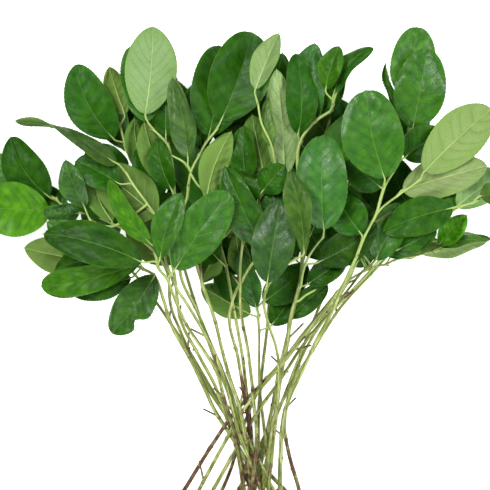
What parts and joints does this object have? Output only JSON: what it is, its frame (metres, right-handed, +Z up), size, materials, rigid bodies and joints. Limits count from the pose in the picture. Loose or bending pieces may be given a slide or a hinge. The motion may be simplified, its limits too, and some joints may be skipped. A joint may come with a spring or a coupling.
{
  "type": "bunch of salal sprigs",
  "caption": "Loose bunch of cut leafy salal sprigs laid flat, with long thin stems that cross at an open waist and a broad fan of oval evergreen leaves.",
  "frame": {"origin": "centre of the bunch's bounding box, on the surface that it lies on", "axes": "+Y from the cut ends to the leafy end, along the bunch; +Z up from the surface, towards a viewer who looks down on it; +X to that viewer's right"},
  "size_m": [0.5316, 0.5966, 0.1244],
  "materials": {
    "leaf_dark": "waxy dark green upper leaf face, satin to glossy",
    "leaf_green": "waxy mid green leaf, satin",
    "leaf_pale": "matt pale yellow-green leaf underside with raised veins",
    "stem": "yellow-green young bark, red-brown and woody lower down"
  },
  "bodies": {
    "root": {"sprig_back_centre": "leaf_dark", "sprig_back_crown_left": "leaf_dark", "sprig_back_far_left": "leaf_dark", "sprig_back_far_right": "leaf_dark", "sprig_back_left": "leaf_dark", "sprig_back_right": "leaf_dark", "sprig_back_right_upper": "leaf_dark", "sprig_back_upper": "leaf_dark", "sprig_centre_low": "leaf_green", "sprig_centre_top": "leaf_green", "sprig_centre_upper": "leaf_green", "sprig_crown_right": "leaf_dark", "sprig_dark_top": "leaf_dark", "sprig_left_edge": "leaf_green", "sprig_left_gloss": "leaf_green", "sprig_left_low": "leaf_green", "sprig_left_twisted": "leaf_pale", "sprig_pale_centre": "leaf_pale", "sprig_pale_top": "leaf_pale", "sprig_right_inner": "leaf_green", "sprig_right_low": "leaf_pale", "sprig_right_outer": "leaf_green", "sprig_right_pale": "leaf_pale", "sprig_right_upper": "leaf_green", "sprig_round_right": "leaf_dark"}
  },
  "joints": []
}
